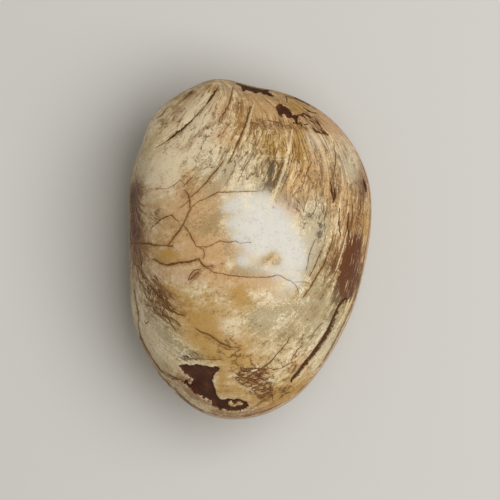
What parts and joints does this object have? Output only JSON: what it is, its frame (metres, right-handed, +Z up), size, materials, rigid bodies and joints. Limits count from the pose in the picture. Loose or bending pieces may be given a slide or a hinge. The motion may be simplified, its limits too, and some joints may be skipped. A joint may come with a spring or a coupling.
{
  "type": "fossil clam",
  "caption": "Fossil clam: closed egg-shaped bivalve turned to one polished stone, with growth lines, healed cracks and a small flat underneath to rest on.",
  "frame": {"origin": "centre of the bounding box's base, in the plane of the small flat that the clam rests on", "axes": "+Z up through the upper valve; +Y along the shell from its narrow end to its broad end, near the beaks; +X across it, from the side with the beaks to the free margin"},
  "size_m": [0.0514, 0.072, 0.0377],
  "materials": {
    "fossil_stone": "polished tan calcite with brown growth lines, pale worn patches and dark matt pits"
  },
  "bodies": {
    "root": {"fossil_clam": "fossil_stone"}
  },
  "joints": []
}
